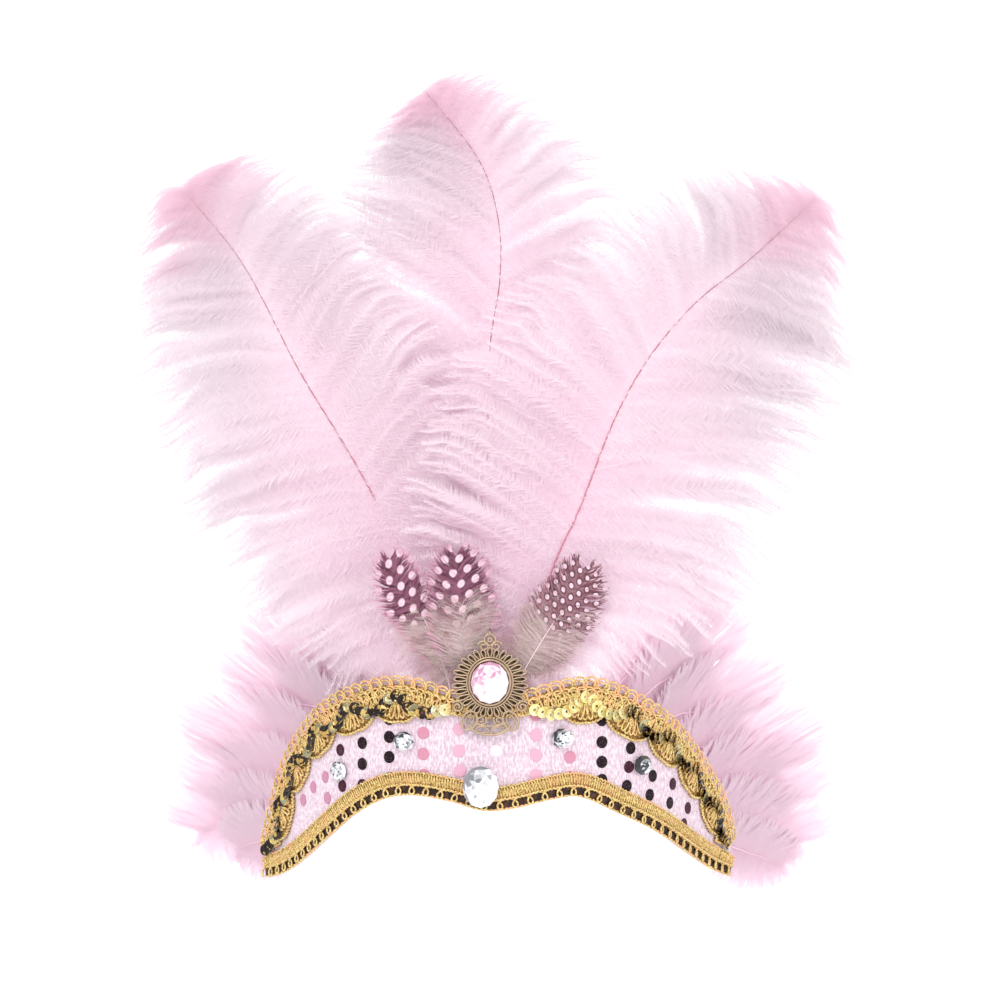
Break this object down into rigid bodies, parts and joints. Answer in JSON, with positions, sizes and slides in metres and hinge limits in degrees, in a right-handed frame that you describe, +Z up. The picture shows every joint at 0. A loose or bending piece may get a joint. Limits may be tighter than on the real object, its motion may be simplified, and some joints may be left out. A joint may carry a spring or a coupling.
{
  "type": "feather headdress",
  "caption": "Curved brow band with gold braid, sequins, stones and a pierced brooch, carrying tall pink ostrich plumes, spotted feathers and a fan of soft feathers at each end.",
  "frame": {"origin": "on the band's inner face at the middle of the brow, level with the band's lower edge there", "axes": "+X to the viewer's right across the brow as seen from the front, +Y back over the head, +Z up; the front faces -Y"},
  "size_m": [0.3028, 0.1416, 0.3544],
  "materials": {
    "band": "pale lilac-pink knitted fabric over a stiff core",
    "upper_braid": "gold metallic thread braid",
    "lower_braid": "gold metallic thread braid",
    "sequin_string_left": "glossy bronze and pale gold cup sequins",
    "sequin_string_right": "glossy bronze and pale gold cup sequins",
    "brooch": "antique brass with dark recesses",
    "brooch_stone": "pink faceted stone, foil backed",
    "brow_stone": "clear faceted stone, foil backed",
    "side_stone_1": "clear faceted stone, foil backed",
    "side_stone_2": "clear faceted stone, foil backed",
    "side_stone_3": "clear faceted stone, foil backed",
    "side_stone_4": "clear faceted stone, foil backed",
    "plume_left": "soft dyed pink feather",
    "plume_middle": "soft dyed pink feather",
    "plume_right": "soft dyed pink feather",
    "spotted_feather_1": "dark plum feather with pale spots and a downy base",
    "spotted_feather_2": "dark plum feather with pale spots and a downy base",
    "spotted_feather_3": "dark plum feather with pale spots and a downy base",
    "side_feather_left_1": "soft dyed pink feather",
    "side_feather_left_2": "soft dyed pink feather",
    "side_feather_left_3": "soft dyed pink feather",
    "side_feather_left_4": "soft dyed pink feather",
    "side_feather_left_5": "soft dyed pink feather",
    "side_feather_left_6": "soft dyed pink feather",
    "side_feather_left_7": "soft dyed pink feather",
    "side_feather_right_1": "soft dyed pink feather",
    "side_feather_right_2": "soft dyed pink feather",
    "side_feather_right_3": "soft dyed pink feather",
    "side_feather_right_4": "soft dyed pink feather",
    "side_feather_right_5": "soft dyed pink feather",
    "side_feather_right_6": "soft dyed pink feather",
    "side_feather_right_7": "soft dyed pink feather"
  },
  "bodies": {
    "root": {"band": "band", "upper_braid": "upper_braid", "lower_braid": "lower_braid", "sequin_string_left": "sequin_string_left", "sequin_string_right": "sequin_string_right", "brooch": "brooch", "brooch_stone": "brooch_stone", "brow_stone": "brow_stone", "side_stone_1": "side_stone_1", "side_stone_2": "side_stone_2", "side_stone_3": "side_stone_3", "side_stone_4": "side_stone_4", "plume_left": "plume_left", "plume_middle": "plume_middle", "plume_right": "plume_right", "spotted_feather_1": "spotted_feather_1", "spotted_feather_2": "spotted_feather_2", "spotted_feather_3": "spotted_feather_3", "side_feather_left_1": "side_feather_left_1", "side_feather_left_2": "side_feather_left_2", "side_feather_left_3": "side_feather_left_3", "side_feather_left_4": "side_feather_left_4", "side_feather_left_5": "side_feather_left_5", "side_feather_left_6": "side_feather_left_6", "side_feather_left_7": "side_feather_left_7", "side_feather_right_1": "side_feather_right_1", "side_feather_right_2": "side_feather_right_2", "side_feather_right_3": "side_feather_right_3", "side_feather_right_4": "side_feather_right_4", "side_feather_right_5": "side_feather_right_5", "side_feather_right_6": "side_feather_right_6", "side_feather_right_7": "side_feather_right_7"}
  },
  "joints": []
}
